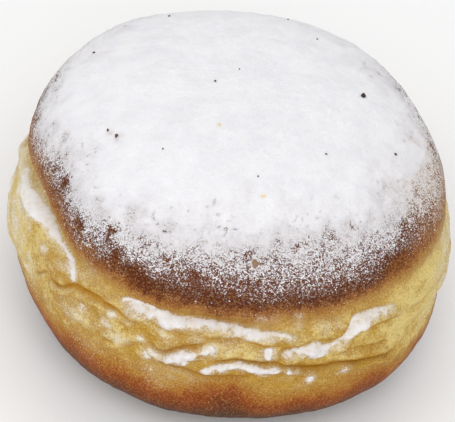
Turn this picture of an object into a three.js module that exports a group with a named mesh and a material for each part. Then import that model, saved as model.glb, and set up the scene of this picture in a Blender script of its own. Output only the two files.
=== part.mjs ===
// A filled doughnut of one piece: a flattened bun with a browned cap, a pale folded belt and a browned
// bottom. Millimetres, +Z up. The origin is on the plane that the doughnut rests on, under the middle of its
// outline.
import * as THREE from 'three';

// Overall sizes
const WIDTH = 88; // across the belt at its widest, before the dough's unevenness
const BOTTOM_DEPTH = 18.4; // from the resting plane up to the widest line
const CROWN_RISE = 35.1; // from the widest line up to the top of the cap
const BOTTOM_CURVE = 19.25; // depth the bottom's curve would reach if it weren't flattened
const CROWN_FULLNESS = 2.95; // superellipse exponents: 2 is a plain ellipse and more is boxier
const BOTTOM_FULLNESS = 2.65;

// Unevenness of the hand-shaped dough: lobes round the bun, as a share of the radius, with the azimuth of
// one lobe. The crown and the bottom each have their own, and they blend between the two heights.
const LOBES = [
  { count: 2, crown: { share: 0.028, azimuth: -45 }, bottom: { share: 0.035, azimuth: -87 } },
  { count: 3, crown: { share: 0.007, azimuth: 21 }, bottom: { share: 0.011, azimuth: -37 } },
  { count: 4, crown: { share: 0.018, azimuth: -33 }, bottom: { share: 0.008, azimuth: -28 } },
];
const LOBE_BLEND = { from: -12, to: 28 }; // heights from the widest line
const LEAN = { x: -0.033, y: 0.106 }; // sideways drift for each millimetre above the widest line

// The band between the two browned crusts, as heights above the widest line
const BELT_FOOT = -1.5;
const CAP_EDGE = 16; // where the browned cap ends
const CAP_EDGE_LIFT = { rise: 1.2, azimuth: -160, spread: 28 }; // the edge stands higher on one side
const EDGE_TUCK = { drop: 2.2, depth: 0.8, halfWidth: 1.7 }; // the tuck under the cap's edge
const DEEP_TUCK = { depth: 2.4, azimuth: -157, spread: 25 }; // where that tuck is deepest
const BELT_SWELL = { swell: 2.8, azimuth: -170, spread: 21, height: 5.5, halfHeight: 8.5 };

// Folds of the belt. Each runs round the side from one azimuth to another (degrees, 0 towards +X) while its
// height above the widest line goes from one value to the other, bowed upward in the middle by its arch. It
// is a groove of some depth with a lip standing out below it.
const FOLDS = [
  { azimuths: [-116, -66], heights: [12.2, 10.4], arch: 0.7, depth: 1.3, lip: 1.1, halfWidth: 1.3 },
  { azimuths: [-146, -108], heights: [5.0, 8.4], arch: 2.8, depth: 1.2, lip: 0.5, halfWidth: 1.0 },
  { azimuths: [-108, -88], heights: [5.6, 9.2], arch: -1.4, depth: 1.0, lip: 0.9, halfWidth: 1.2 },
  { azimuths: [-104, -91], heights: [3.0, 1.9], arch: 0, depth: 0.7, lip: 0.5, halfWidth: 0.9 },
  { azimuths: [-97, -41], heights: [4.6, 0.3], arch: 2.3, depth: 1.5, lip: 1.0, halfWidth: 1.1 },
  { azimuths: [-76, -37], heights: [7.2, 11.2], arch: -0.4, depth: 1.2, lip: 1.2, halfWidth: 1.3 },
  { azimuths: [-62, -42], heights: [6.4, 4.2], arch: 0, depth: 0.6, lip: 0.4, halfWidth: 0.9 },
  { azimuths: [-22, 34], heights: [8.2, 10.6], arch: 1.5, depth: 1.2, lip: 1.0, halfWidth: 1.3 },
  { azimuths: [12, 58], heights: [4.2, 2.6], arch: -0.8, depth: 1.1, lip: 0.7, halfWidth: 1.1 },
  { azimuths: [44, 104], heights: [11.2, 9.6], arch: 0.8, depth: 1.3, lip: 1.1, halfWidth: 1.3 },
  { azimuths: [74, 118], heights: [3.4, 5.8], arch: 1.6, depth: 1.2, lip: 0.8, halfWidth: 1.1 },
  { azimuths: [112, 172], heights: [10.4, 11.4], arch: -1.2, depth: 1.2, lip: 1.1, halfWidth: 1.3 },
  { azimuths: [132, 196], heights: [5.6, 3.8], arch: 1.4, depth: 1.1, lip: 0.6, halfWidth: 1.1 },
];
const FOLD_END_FADE = 6; // degrees over which a fold's ends run out
const LIP_DROP = 1.7; // the lip's middle below its groove, in half widths of the groove
const LIP_SPREAD = 1.3; // the lip's half width, in half widths of the groove

// Mesh density
const SEGMENTS = 104; // round the bun
const BOTTOM_RINGS = 8;
const BELT_RINGS = 23;
const CAP_RINGS = 12;
const BELT_TOP = 18.2; // the fine rings reach just above the cap's edge

/** A superellipse's radius and height above the widest line, at an angle above the horizontal. */
function superellipsePoint(angle, reach, fullness) {
  const radius = (WIDTH / 2) * Math.cos(angle) ** (2 / fullness);
  const height = Math.sign(angle) * reach * Math.abs(Math.sin(angle)) ** (2 / fullness);
  return { radius, height };
}

/** The angle at which a superellipse reaches a height above the widest line. */
function superellipseAngle(height, reach, fullness) {
  return Math.sign(height) * Math.asin((Math.abs(height) / reach) ** (fullness / 2));
}

/** Half outline of the bun, from the centre of the resting spot up to the top, as a lathe profile. */
function bunProfile() {
  const profile = [new THREE.Vector2(0, 0)];
  const flatAngle = superellipseAngle(-BOTTOM_DEPTH, BOTTOM_CURVE, BOTTOM_FULLNESS);
  const footAngle = superellipseAngle(BELT_FOOT, BOTTOM_CURVE, BOTTOM_FULLNESS);
  const topAngle = superellipseAngle(BELT_TOP, CROWN_RISE, CROWN_FULLNESS);
  const flatRadius = superellipsePoint(flatAngle, BOTTOM_CURVE, BOTTOM_FULLNESS).radius;

  profile.push(new THREE.Vector2(flatRadius / 2, 0));
  for (let i = 0; i < BOTTOM_RINGS; i++) {
    const angle = THREE.MathUtils.lerp(flatAngle, footAngle, i / BOTTOM_RINGS);
    const { radius, height } = superellipsePoint(angle, BOTTOM_CURVE, BOTTOM_FULLNESS);
    profile.push(new THREE.Vector2(radius, height + BOTTOM_DEPTH));
  }
  for (let i = 0; i < BELT_RINGS; i++) {
    const height = THREE.MathUtils.lerp(BELT_FOOT, BELT_TOP, i / BELT_RINGS);
    const [reach, fullness] = height < 0 ? [BOTTOM_CURVE, BOTTOM_FULLNESS] : [CROWN_RISE, CROWN_FULLNESS];
    const { radius } = superellipsePoint(superellipseAngle(height, reach, fullness), reach, fullness);
    profile.push(new THREE.Vector2(radius, height + BOTTOM_DEPTH));
  }
  for (let i = 0; i < CAP_RINGS; i++) {
    const angle = THREE.MathUtils.lerp(topAngle, Math.PI / 2, i / CAP_RINGS);
    const { radius, height } = superellipsePoint(angle, CROWN_RISE, CROWN_FULLNESS);
    profile.push(new THREE.Vector2(radius, height + BOTTOM_DEPTH));
  }
  profile.push(new THREE.Vector2(0, BOTTOM_DEPTH + CROWN_RISE));
  return profile;
}

/** Difference of two azimuths in degrees, from -180 to 180. */
function azimuthGap(a, b) {
  return THREE.MathUtils.euclideanModulo(a - b + 180, 360) - 180;
}

/** A smooth bump that is 1 at offset 0 and falls away over the spread. */
function bell(offset, spread) {
  return Math.exp(-((offset / spread) ** 2));
}

/** Height of the browned cap's edge above the widest line, at an azimuth. */
function capEdgeHeight(azimuth) {
  const { rise, azimuth: middle, spread } = CAP_EDGE_LIFT;
  return CAP_EDGE + rise * bell(azimuthGap(azimuth, middle), spread);
}

/** How far one fold moves the surface outward, at an azimuth and a height above the widest line. */
function foldRelief(fold, azimuth, height) {
  const [from, to] = fold.azimuths;
  const along = azimuthGap(azimuth, (from + to) / 2) + (to - from) / 2;
  const fade =
    THREE.MathUtils.smoothstep(along, 0, FOLD_END_FADE) *
    THREE.MathUtils.smoothstep(to - from - along, 0, FOLD_END_FADE);
  const share = THREE.MathUtils.clamp(along / (to - from), 0, 1);
  const groove = THREE.MathUtils.lerp(...fold.heights, share) + fold.arch * 4 * share * (1 - share);
  const offset = height - groove;
  const hollow = fold.depth * bell(offset, fold.halfWidth);
  const lip = fold.lip * bell(offset + LIP_DROP * fold.halfWidth, LIP_SPREAD * fold.halfWidth);
  return fade * (lip - hollow);
}

/** Outward relief of the belt: its swell, the tuck under the cap's edge, and the folds. */
function beltRelief(azimuth, height) {
  const swell =
    BELT_SWELL.swell *
    bell(azimuthGap(azimuth, BELT_SWELL.azimuth), BELT_SWELL.spread) *
    bell(height - BELT_SWELL.height, BELT_SWELL.halfHeight);
  const deepening = DEEP_TUCK.depth * bell(azimuthGap(azimuth, DEEP_TUCK.azimuth), DEEP_TUCK.spread);
  const belowEdge = height - capEdgeHeight(azimuth) + EDGE_TUCK.drop;
  const tuck = (EDGE_TUCK.depth + deepening) * bell(belowEdge, EDGE_TUCK.halfWidth);
  const folds = FOLDS.reduce((sum, fold) => sum + foldRelief(fold, azimuth, height), 0);
  return swell - tuck + folds;
}

/** Sum of the lobes at an azimuth, for the crown or the bottom, as a share of the radius. */
function lobeSum(azimuth, part) {
  const wave = (lobe) => Math.cos(lobe.count * THREE.MathUtils.degToRad(azimuth - lobe[part].azimuth));
  return LOBES.reduce((sum, lobe) => sum + lobe[part].share * wave(lobe), 0);
}

/** Moves every point of the turned bun to where the uneven dough has it. */
function shapeDough(geometry) {
  const position = geometry.getAttribute('position');
  const point = new THREE.Vector3();
  for (let i = 0; i < position.count; i++) {
    point.fromBufferAttribute(position, i);
    const azimuth = THREE.MathUtils.radToDeg(Math.atan2(point.y, point.x));
    const radius = Math.hypot(point.x, point.y);
    const height = point.z - BOTTOM_DEPTH;
    const blend = THREE.MathUtils.smoothstep(height, LOBE_BLEND.from, LOBE_BLEND.to);
    const lobes = THREE.MathUtils.lerp(lobeSum(azimuth, 'bottom'), lobeSum(azimuth, 'crown'), blend);
    const grown = radius > 0 ? 1 + lobes + beltRelief(azimuth, height) / radius : 1;
    position.setXYZ(i, point.x * grown + LEAN.x * height, point.y * grown + LEAN.y * height, point.z);
  }
}

/** The whole doughnut, standing on the resting plane with its outline centred on the origin. */
function makeDoughnut() {
  const geometry = new THREE.LatheGeometry(bunProfile(), SEGMENTS);
  geometry.rotateX(Math.PI / 2);
  shapeDough(geometry);
  geometry.computeBoundingBox();
  const centre = geometry.boundingBox.getCenter(new THREE.Vector3());
  geometry.translate(-centre.x, -centre.y, 0);
  geometry.computeVertexNormals();
  const dough = new THREE.MeshStandardMaterial({ color: 0xc69b5c, roughness: 0.75, metalness: 0 });
  const doughnut = new THREE.Mesh(geometry, dough);
  doughnut.name = 'doughnut';
  return doughnut;
}

const group = new THREE.Group();
group.add(makeDoughnut());

export default group;
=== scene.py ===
"""A sugared jelly filled doughnut: its dough, its coat of powdered sugar and the studio that shows it."""

import logging
import math
from dataclasses import dataclass, field
from enum import Enum
from itertools import product

import bmesh
import bpy
import numpy as np
from mathutils import Matrix, Vector


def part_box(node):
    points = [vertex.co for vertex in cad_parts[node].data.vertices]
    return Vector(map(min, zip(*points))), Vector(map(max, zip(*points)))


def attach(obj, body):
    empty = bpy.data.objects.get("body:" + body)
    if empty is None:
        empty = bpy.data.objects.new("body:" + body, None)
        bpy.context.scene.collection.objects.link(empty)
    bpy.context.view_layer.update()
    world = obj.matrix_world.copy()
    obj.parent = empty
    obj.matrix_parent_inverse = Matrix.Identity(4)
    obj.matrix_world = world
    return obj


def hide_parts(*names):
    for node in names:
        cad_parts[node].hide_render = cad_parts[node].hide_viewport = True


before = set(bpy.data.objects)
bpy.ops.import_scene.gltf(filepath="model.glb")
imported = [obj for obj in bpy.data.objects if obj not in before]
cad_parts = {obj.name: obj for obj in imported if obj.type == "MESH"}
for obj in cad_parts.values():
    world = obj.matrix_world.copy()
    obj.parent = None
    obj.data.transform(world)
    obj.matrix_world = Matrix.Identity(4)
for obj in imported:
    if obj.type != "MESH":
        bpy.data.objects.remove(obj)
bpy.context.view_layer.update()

MM = 0.001
NODE = "doughnut"
BODY = "root"
SUGAR_GLOW = 0.25
SUGAR_REACH = (1.0, 0.9, 0.75)
LOG = logging.getLogger("doughnut")

Array = np.ndarray
Piece = bpy.types.Object
Socket = bpy.types.NodeSocket
Colour = tuple[float, float, float, float]
Size = float | tuple[float, float, float]
Stops = tuple[tuple[float, ...], ...]


class Slot(Enum):
    """The record's material slots."""

    CRUST = "crust"
    SUGAR = "sugar"


def srgb(red: float, green: float, blue: float) -> Colour:
    """Linear colour of an sRGB one.

    Args:
        red: red from 0 to 255.
        green: green from 0 to 255.
        blue: blue from 0 to 255.

    Returns:
        The linear red, green and blue, with an alpha of 1.
    """
    shares = [channel / 255 for channel in (red, green, blue)]
    lit = [s / 12.92 if s <= 0.04045 else ((s + 0.055) / 1.055) ** 2.4 for s in shares]
    return (lit[0], lit[1], lit[2], 1.0)


def bell(offset: Array, spread: float | Array) -> Array:
    """Smooth bump that is 1 at offset 0 and falls away over the spread."""
    return np.exp(-((offset / spread) ** 2))


def ease(value: Array, low: float | Array, high: float | Array) -> Array:
    """Smooth step from 0 at low to 1 at high."""
    share = np.clip((value - low) / (high - low), 0, 1)
    return share * share * (3 - 2 * share)


def turn(azimuth: Array, middle: float) -> Array:
    """Signed degrees from a middle azimuth, from -180 to 180."""
    return (azimuth - middle + 180) % 360 - 180


@dataclass(frozen=True)
class Lumps:
    """Seeded gradient noise in space, from about -1 to 1."""

    seed: int

    def at(self, points: Array, size: Size) -> Array:
        """Noise values at points.

        Args:
            points: array of shape (..., 3).
            size: size of one lump, in the points' unit, one value or one for each axis.

        Returns:
            Array of shape (...).
        """
        source = np.random.default_rng(self.seed)
        count = 256  # a power of 2, so that & wraps the cells' numbers
        order = source.permutation(count)
        order = np.concatenate([order, order])
        slopes = source.normal(size=(count, 3))
        slopes /= np.linalg.norm(slopes, axis=1)[:, None]
        spot = points / np.asarray(size)
        cell = np.floor(spot).astype(int)
        inside = spot - cell
        blend = inside**3 * (inside * (inside * 6 - 15) + 10)
        total = np.zeros(points.shape[:-1])
        for corner in product((0, 1), repeat=3):
            step = np.array(corner)
            key = (cell + step) & (count - 1)
            pick = order[order[order[key[..., 0]] + key[..., 1]] + key[..., 2]]
            weight = np.prod(np.where(step, blend, 1 - blend), axis=-1)
            total += weight * ((inside - step) * slopes[pick]).sum(-1)
        gain = 1.7  # brings the noise's range to about 1
        return gain * total

    def pillows(self, points: Array, size: Size) -> Array:
        """Rounded lumps with sharp creases between them, from 0 in a crease to about 1."""
        return np.abs(self.at(points, size))


@dataclass(frozen=True)
class Texture:
    """Lumps of several sizes added up: each layer is its share, its seed and its size in millimetres."""

    layers: tuple[tuple[float, int, Size], ...]

    def at(self, points: Array) -> Array:
        """Sum of the layers at points."""
        return sum(share * Lumps(seed).at(points, size) for share, seed, size in self.layers)

    def pillowed(self, points: Array) -> Array:
        """Sum of the layers at points, as rounded lumps with sharp creases, about 0 on average."""
        mean = 0.3
        return sum(share * (Lumps(seed).pillows(points, size) - mean) for share, seed, size in self.layers)


@dataclass(frozen=True)
class Route:
    """Values round the side of the bun: each stop is an azimuth and one or more values, eased between."""

    stops: Stops
    easing: float = 2.5

    def value(self, azimuth: Array, column: int = 1) -> Array:
        """A column of the stops at an azimuth.

        Args:
            azimuth: degrees, 0 towards +X.
            column: which number of each stop, 1 for the first after the azimuth.

        Returns:
            The eased values, level beyond the route's ends.
        """
        step, margin = 0.25, 8
        table = np.array(self.stops)
        fine = np.arange(table[0, 0] - margin, table[-1, 0] + margin, step)
        level = np.interp(fine, table[:, 0], table[:, column])
        reach = int(self.easing / step)
        window = np.hanning(2 * reach + 3)[1:-1]
        eased = np.convolve(np.pad(level, reach, mode="edge"), window / window.sum(), mode="valid")
        return np.interp(turn(azimuth, self.middle()) + self.middle(), fine, eased)

    def middle(self) -> float:
        """Azimuth halfway along the route."""
        return (self.stops[0][0] + self.stops[-1][0]) / 2

    def along(self, azimuth: Array, run_out: float) -> Array:
        """1 along the route, easing to 0 over run_out degrees inside each end."""
        half = (self.stops[-1][0] - self.stops[0][0]) / 2
        return 1 - ease(np.abs(turn(azimuth, self.middle())), half - run_out, half)


@dataclass(frozen=True)
class FoldShape:
    """Cross-section that all folds share, in widths of the fold."""

    crease_width: float = 0.95
    crease_sharpness: float = 1.3
    lip_drop: float = 2.1
    lip_width: float = 1.35
    roll_lift: float = 1.7
    roll_width: float = 1.2
    sag_lift: float = 1.1
    sag_share: float = 0.55
    most_sag_depth: float = 1.2
    # half width of the painted shade along the crease, in widths of the fold
    painted_shade_width: float = 0.9


SECTION = FoldShape()


@dataclass(frozen=True)
class Fold:
    """A crease of the belt, with the dough that rolls over it and the lip that swells out below."""

    route: Route
    depth: float  # of the crease, in millimetres
    lip: float  # how far the lip stands out, in millimetres
    width: float  # half width of the crease, in millimetres
    run_out: float = 5.0  # degrees over which each end runs out
    dark: float = 0.6  # strength of the painted shade in the crease, from 0 to 1
    roll: float = 0.7  # how far the roll above stands out, as a share of the lip

    def offset(self, azimuth: Array, height: Array) -> Array:
        """Height above the crease, in millimetres."""
        return height - self.route.value(azimuth)

    def relief(self, azimuth: Array, height: Array) -> Array:
        """How far the fold moves the surface outward, in millimetres.

        Args:
            azimuth: degrees.
            height: millimetres above the widest line.

        Returns:
            Millimetres at each place.
        """
        offset = self.offset(azimuth, height)
        aside = np.abs(offset) / (SECTION.crease_width * self.width)
        crease = self.depth * np.exp(-(aside**SECTION.crease_sharpness))
        lip = self.lip * bell(offset + SECTION.lip_drop * self.width, SECTION.lip_width * self.width)
        roll = bell(offset - SECTION.roll_lift * self.width, SECTION.roll_width * self.width)
        roll = self.roll * self.lip * roll
        return self.route.along(azimuth, self.run_out) * (lip + roll - crease)

    def sag(self, azimuth: Array, height: Array) -> Array:
        """How far the dough above the crease hangs down over it, in millimetres.

        Args:
            azimuth: degrees.
            height: millimetres above the widest line.

        Returns:
            Millimetres at each place.
        """
        hang = SECTION.sag_share * min(self.depth, SECTION.most_sag_depth)
        hang = hang * bell(self.offset(azimuth, height) - SECTION.sag_lift * self.width, self.width)
        return self.route.along(azimuth, self.run_out) * hang

    def painted_shade(self, azimuth: Array, height: Array) -> Array:
        """Painted shade at the crease's bottom, from 0 to 1."""
        line = bell(self.offset(azimuth, height), SECTION.painted_shade_width * self.width)
        return self.dark * self.route.along(azimuth, self.run_out) * line


@dataclass(frozen=True)
class Drift:
    """Powdered sugar lying along a ledge of the belt. Its stops are azimuth, upper edge and lower edge."""

    route: Route
    thickness: float
    crisp: float = 0.35  # millimetres over which the sugar fills up below the upper edge
    fringe: float = 1.3  # the same above the lower edge
    rise: float = 0.1  # millimetres that the upper edge is raised by where the drift is broad
    inset: float = -0.1  # millimetres that the lower edge is raised by
    ragged: float = 1.0
    top_fray: float = 0.25
    foot_fray: float = 0.6
    run_out: float = 2.5  # degrees over which each end runs out
    steepness: float = 0.7
    fullness: float = 0.7
    edge_slope: float = 0.2

    def inside(self, azimuth: Array, height: Array, fray: Array) -> Array:
        """How far inside the drift a place is: 0 at its edges, about 1 well inside, negative beyond.

        Args:
            azimuth: degrees.
            height: millimetres above the widest line.
            fray: noise from -1 to 1 that makes the edges uneven.

        Returns:
            The measure at each place.
        """
        upper, lower = self.route.value(azimuth), self.route.value(azimuth, 2)
        rise = self.rise * ease(upper - lower, 0.3, 1.4)
        fray = self.ragged * fray
        below_top = (upper + rise + self.top_fray * fray - height) / self.crisp
        above_foot = (height - lower - self.inset + self.foot_fray * fray) / self.fringe
        return np.minimum(below_top, above_foot) - 2 * (1 - self.route.along(azimuth, self.run_out))

    def bank(self, inside: Array) -> Array:
        """Thickness of the sugar that far inside the drift, negative beyond its edges, in millimetres."""
        rounded = 1 - np.exp(-self.steepness * np.maximum(inside, 0))
        return self.fullness * self.thickness * rounded + self.edge_slope * np.minimum(inside, 0)


@dataclass
class Form:
    """The bun's plain shape: a superellipse turned round its axis, made uneven by lobes. Millimetres."""

    width: float = 88.0
    bottom_depth: float = 18.4
    crown_rise: float = 35.1
    bottom_curve: float = 19.25
    crown_fullness: float = 2.95
    bottom_fullness: float = 2.65
    lobes: Stops = (
        (2, 0.028, -45, 0.035, -87),
        (3, 0.007, 21, 0.011, -37),
        (4, 0.018, -33, 0.008, -28),
    )
    lobe_blend: tuple[float, float] = (-12.0, 28.0)
    lean: tuple[float, float] = (-0.033, 0.106)
    outline: Array = field(init=False)

    def __post_init__(self) -> None:
        """Works out the half outline as arc length, radius and height above the widest line."""
        flat = (self.bottom_depth / self.bottom_curve) ** (self.bottom_fullness / 2)
        bottom_steps, crown_steps = 1500, 2500  # fine enough to be read with straight lines between
        low = np.linspace(-math.asin(flat), 0, bottom_steps)[:-1]
        high = np.linspace(0, math.pi / 2, crown_steps)
        radius = [np.zeros(1)]
        height = [np.full(1, -self.bottom_depth)]
        for angle, rise, full in (
            (low, self.bottom_curve, self.bottom_fullness),
            (high, self.crown_rise, self.crown_fullness),
        ):
            radius.append(self.width / 2 * np.maximum(np.cos(angle), 0) ** (2 / full))
            height.append(rise * np.sign(angle) * np.abs(np.sin(angle)) ** (2 / full))
        radius, height = np.concatenate(radius), np.concatenate(height)
        radius[-1] = 0
        steps = np.hypot(np.diff(radius), np.diff(height))
        self.outline = np.stack([np.concatenate([[0], np.cumsum(steps)]), radius, height])

    def flat_radius(self) -> float:
        """Radius of the flat spot that the bun rests on."""
        return float(self.outline[1, 1])

    def length(self) -> float:
        """Arc length of the half outline."""
        return float(self.outline[0, -1])

    def arc_at(self, height: float | Array) -> float | Array:
        """Arc length at a height above the widest line."""
        return np.interp(height, self.outline[2], self.outline[0])

    def profile(self, arc: Array) -> tuple[Array, Array]:
        """Radius and height at an arc length."""
        return np.interp(arc, *self.outline[:2]), np.interp(arc, self.outline[0], self.outline[2])

    def outward(self, arc: Array) -> tuple[Array, Array]:
        """The outline's normal at an arc length, as its radial and upward parts.

        Args:
            arc: arc length along the half outline.

        Returns:
            Both parts.
        """
        step = 0.4
        low_radius, low_height = self.profile(np.maximum(arc - step, 0))
        high_radius, high_height = self.profile(np.minimum(arc + step, self.length()))
        size = np.hypot(high_radius - low_radius, high_height - low_height)
        return (high_height - low_height) / size, (low_radius - high_radius) / size

    def place(self, azimuth: Array, arc: Array, relief: float | Array = 0.0) -> Array:
        """Points of the uneven bun.

        Args:
            azimuth: degrees, 0 towards +X.
            arc: arc length along the half outline.
            relief: millimetres moved outward along the outline's normal.

        Returns:
            Array of shape (..., 3), with the heights counted from the resting plane.
        """
        radius, height = self.profile(arc)
        outward, upward = self.outward(arc)
        blend = ease(height, *self.lobe_blend)
        swell = np.zeros(np.broadcast(azimuth, arc).shape)
        for count, crown, crown_at, bottom, bottom_at in self.lobes:
            swell = swell + blend * crown * np.cos(np.radians(count * (azimuth - crown_at)))
            swell = swell + (1 - blend) * bottom * np.cos(np.radians(count * (azimuth - bottom_at)))
        reach = radius * (1 + swell) + relief * outward
        angle = np.radians(azimuth)
        x = reach * np.cos(angle) + self.lean[0] * height
        y = reach * np.sin(angle) + self.lean[1] * height
        z = height + relief * upward + self.bottom_depth
        return np.stack(np.broadcast_arrays(x, y, z), axis=-1)


@dataclass(frozen=True)
class Spot:
    """A round patch on the skin, at an azimuth and a height above the widest line."""

    azimuth: float
    height: float
    radius: float
    strength: float = 1.0

    def near(self, form: Form, azimuth: Array, arc: Array) -> Array:
        """The spot's strength at its middle, falling away over its radius.

        Args:
            form: the bun that the spot is on.
            azimuth: degrees.
            arc: arc length along the half outline.

        Returns:
            The strength at each place.
        """
        return self.strength * np.exp(-self.distance(form, azimuth, arc) ** 2)

    def dome(self, form: Form, azimuth: Array, arc: Array) -> Array:
        """The spot's strength at its middle, rounding off to 0 at its radius."""
        return self.strength * np.sqrt(np.clip(1 - self.distance(form, azimuth, arc) ** 2, 0, 1))

    def distance(self, form: Form, azimuth: Array, arc: Array) -> Array:
        """Distance from the spot's middle, in radii.

        Args:
            form: the bun that the spot is on.
            azimuth: degrees.
            arc: arc length along the half outline.

        Returns:
            The distance of each place.
        """
        reach, _ = form.profile(arc)
        aside = np.radians(turn(azimuth, self.azimuth)) * reach
        return np.hypot(aside, arc - form.arc_at(self.height)) / self.radius


def spots(*rows: tuple[float, ...]) -> tuple[Spot, ...]:
    """Spots from rows of their azimuth, height, radius and strength."""
    return tuple(Spot(*row) for row in rows)


@dataclass
class SkinMap:
    """Values on a grid of azimuths and arc lengths that is closed round the bun."""

    arcs: Array
    values: Array

    @staticmethod
    def grid(arcs: Array, columns: int) -> tuple[Array, Array]:
        """Azimuths and arc lengths of a grid's points."""
        return np.meshgrid(np.arange(columns) * 360 / columns - 180, arcs)

    def at(self, azimuth: Array, arc: Array) -> Array:
        """Values between the grid's points.

        Args:
            azimuth: degrees.
            arc: arc length along the half outline.

        Returns:
            The value at each place.
        """
        columns = self.values.shape[1]
        column = (azimuth + 180) % 360 * columns / 360
        row = np.interp(arc, self.arcs, np.arange(len(self.arcs)))
        left, low = np.floor(column).astype(int), np.minimum(row.astype(int), len(self.arcs) - 2)
        aside, up = column - left, row - low
        right, left = (left + 1) % columns, left % columns
        below = self.values[low, left] * (1 - aside) + self.values[low, right] * aside
        above = self.values[low + 1, left] * (1 - aside) + self.values[low + 1, right] * aside
        return below * (1 - up) + above * up


def add_object(name: str, points: Array, faces: list, layers: dict[str, Array] | None = None) -> Piece:
    """Adds a smooth-shaded mesh object.

    Args:
        name: the piece's name.
        points: vertices in millimetres.
        faces: vertex numbers of each face.
        layers: values for each vertex, by attribute name.

    Returns:
        The linked object, in metres.
    """
    mesh = bpy.data.meshes.new(name)
    mesh.from_pydata((points * MM).tolist(), [], faces)
    mesh.shade_smooth()
    for label, values in (layers or {}).items():
        layer = mesh.attributes.new(label, "FLOAT", "POINT")
        layer.data.foreach_set("value", np.ascontiguousarray(values, dtype=np.float32))
    piece = bpy.data.objects.new(name, mesh)
    bpy.context.scene.collection.objects.link(piece)
    return piece


def ring_faces(rings: int, columns: int) -> Array:
    """Quads of a grid whose columns close on themselves, facing out when the rings go up.

    Args:
        rings: number of rings.
        columns: number of points in each ring.

    Returns:
        Array of shape (faces, 4) of vertex numbers.
    """
    ring = np.arange(rings - 1)[:, None] * columns
    column = np.arange(columns)[None, :]
    after = (column + 1) % columns
    quads = np.stack([ring + column, ring + after, ring + columns + after, ring + columns + column], -1)
    return quads.reshape(-1, 4)


def add_shell(
    name: str, points: Array, depth: Array, layers: dict[str, Array], top: Array | None = None
) -> Piece:
    """Adds the part of a ringed grid where a layer has some thickness.

    Args:
        name: the piece's name.
        points: grid of points, of shape (rings, columns, 3), in millimetres.
        depth: the layer's thickness at each point of the grid.
        layers: values for each point of the grid, by attribute name.
        top: a point that closes the last ring, if there is one.

    Returns:
        The linked object.
    """
    rings, columns = depth.shape
    quads = ring_faces(rings, columns)
    quads = quads[(depth.ravel()[quads] > 0).any(1)]
    flat = points.reshape(-1, 3)
    values = {label: value.ravel() for label, value in layers.items()}
    fan = np.zeros((0, 3), int)
    if top is not None:
        around = np.arange(columns)
        last = (rings - 1) * columns
        fan = np.stack([last + around, last + (around + 1) % columns, np.full(columns, len(flat))], -1)
        flat = np.concatenate([flat, top.reshape(1, 3)])
        values = {label: np.append(value, value[-1]) for label, value in values.items()}
    used = np.unique(np.concatenate([quads.ravel(), fan.ravel()]))
    number = np.full(len(flat), -1)
    number[used] = np.arange(len(used))
    faces = number[quads].tolist() + number[fan].tolist()
    return add_object(name, flat[used], faces, {label: value[used] for label, value in values.items()})


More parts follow.
